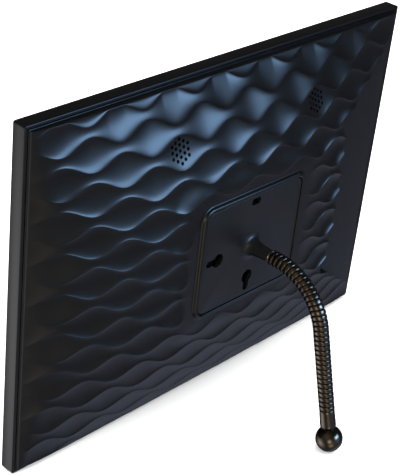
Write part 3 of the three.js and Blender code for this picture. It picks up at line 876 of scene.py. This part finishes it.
GLOWS = (  # azimuth, elevation and spread in degrees, colour
    (42, 4, 9, (2.2, 1.9, 1.35)),
    (58, -33, 9, (1.1, 0.95, 0.75)),
    (-36, -30, 17, (1.55, 1.55, 1.6)),
    (68, -15, 22, (0.22, 0.21, 0.19)),
    (10, 40, 20, (0.26, 0.21, 0.14)),
    (148, -55, 20, (0.29, 0.33, 0.46)),
    (115, 2, 11, (0.3, 0.5, 0.8)),
)


SOFTBOXES = (("softbox", 0.58, 0.31, 7.0), ("softbox_edge", 0.95, 0.5, 1.3))  # width, height, radiance
SOFTBOX_BLUE = (0.575, 1.0, 1.66)
AMBIENT = (0.045, 0.045, 0.046)
BACKDROP = 3.2  # plain light that the floor and the background get


def glow(tree, direction, azimuth, elevation, spread, color):
    """Light that comes from round one direction and fades away from it."""
    a, e = math.radians(azimuth), math.radians(elevation)
    towards = (math.cos(a) * math.cos(e), math.sin(a) * math.cos(e), math.sin(e))
    near = node(tree, "ShaderNodeVectorMath", operation="DOT_PRODUCT")
    near.inputs[1].default_value = towards
    tree.links.new(direction, near.inputs[0])
    sharp = 1 / math.radians(spread) ** 2
    fall = node(tree, "ShaderNodeMath", operation="MULTIPLY_ADD")
    fall.inputs[1].default_value = sharp
    fall.inputs[2].default_value = -sharp
    tree.links.new(near.outputs["Value"], fall.inputs[0])
    bell = node(tree, "ShaderNodeMath", operation="EXPONENT")
    tree.links.new(fall.outputs[0], bell.inputs[0])
    tint = node(tree, "ShaderNodeVectorMath", operation="SCALE")
    tint.inputs[0].default_value = color
    tree.links.new(bell.outputs[0], tint.inputs["Scale"])
    return tint.outputs["Vector"]


def studio():
    world = bpy.data.worlds.new("studio")
    bpy.context.scene.world = world
    world.use_nodes = True
    world.cycles.sampling_method = "NONE"
    tree = world.node_tree
    background = tree.nodes["Background"]
    place = node(tree, "ShaderNodeTexCoord")
    direction = place.outputs["Generated"]
    total = node(tree, "ShaderNodeVectorMath", operation="ADD")
    total.inputs[0].default_value = AMBIENT
    total.inputs[1].default_value = (0, 0, 0)
    for azimuth, elevation, spread, color in GLOWS:
        added = node(tree, "ShaderNodeVectorMath", operation="ADD")
        tree.links.new(total.outputs["Vector"], added.inputs[0])
        tree.links.new(glow(tree, direction, azimuth, elevation, spread, color), added.inputs[1])
        total = added

    rays = node(tree, "ShaderNodeLightPath")
    plain = node(tree, "ShaderNodeMath", operation="MAXIMUM")
    tree.links.new(rays.outputs["Is Camera Ray"], plain.inputs[0])
    tree.links.new(rays.outputs["Is Diffuse Ray"], plain.inputs[1])
    mix = node(tree, "ShaderNodeMix", data_type="RGBA")
    tree.links.new(plain.outputs[0], mix.inputs["Factor"])
    tree.links.new(total.outputs["Vector"], mix.inputs[6])
    mix.inputs[7].default_value = (BACKDROP, BACKDROP, BACKDROP, 1)
    tree.links.new(mix.outputs[2], background.inputs["Color"])

    for name, width, height, strength in SOFTBOXES:
        power = strength * math.pi * width * height
        light = lamp(name, 113, 19, 1.1, width, height, SOFTBOX_BLUE, power)
        light.visible_diffuse = False

    bpy.ops.mesh.primitive_plane_add(size=8)
    floor = bpy.context.object
    floor.name = "floor"
    material, tree, bsdf = shader("floor_white", (0.85, 0.85, 0.85), 0.8)
    bsdf.inputs["Specular IOR Level"].default_value = 0
    vary_roughness(tree, bsdf, object_noise(tree, 4), 0.75, 0.85)
    floor.data.materials.append(material)
    floor.visible_glossy = False


def camera():
    azimuth, elevation, roll = math.radians(131.56), math.radians(28.04), math.radians(3.97)
    aim = Vector((0.0174, -0.0388, 0.1006))
    back = Vector(
        (
            math.sin(azimuth) * math.cos(elevation),
            -math.cos(azimuth) * math.cos(elevation),
            math.sin(elevation),
        )
    )
    level = Vector((math.cos(azimuth), math.sin(azimuth), 0))
    upright = back.cross(level)
    right = math.cos(roll) * level + math.sin(roll) * upright
    up = math.cos(roll) * upright - math.sin(roll) * level
    data = bpy.data.cameras.new("camera")
    data.sensor_fit = "VERTICAL"
    data.sensor_height = 36
    data.lens = 102.5
    eye = bpy.data.objects.new("camera", data)
    turn = Matrix((right, up, back)).transposed().to_4x4()
    eye.matrix_world = Matrix.Translation(aim + 0.732 * back) @ turn
    bpy.context.scene.collection.objects.link(eye)
    bpy.context.scene.camera = eye


bpy.context.scene.view_settings.view_transform = "Standard"
camera()
rear_cover()
plate_lip()
mount_plate()
collar_ring()
gooseneck()
foot()
front_housing()
carried_nodes()
studio()
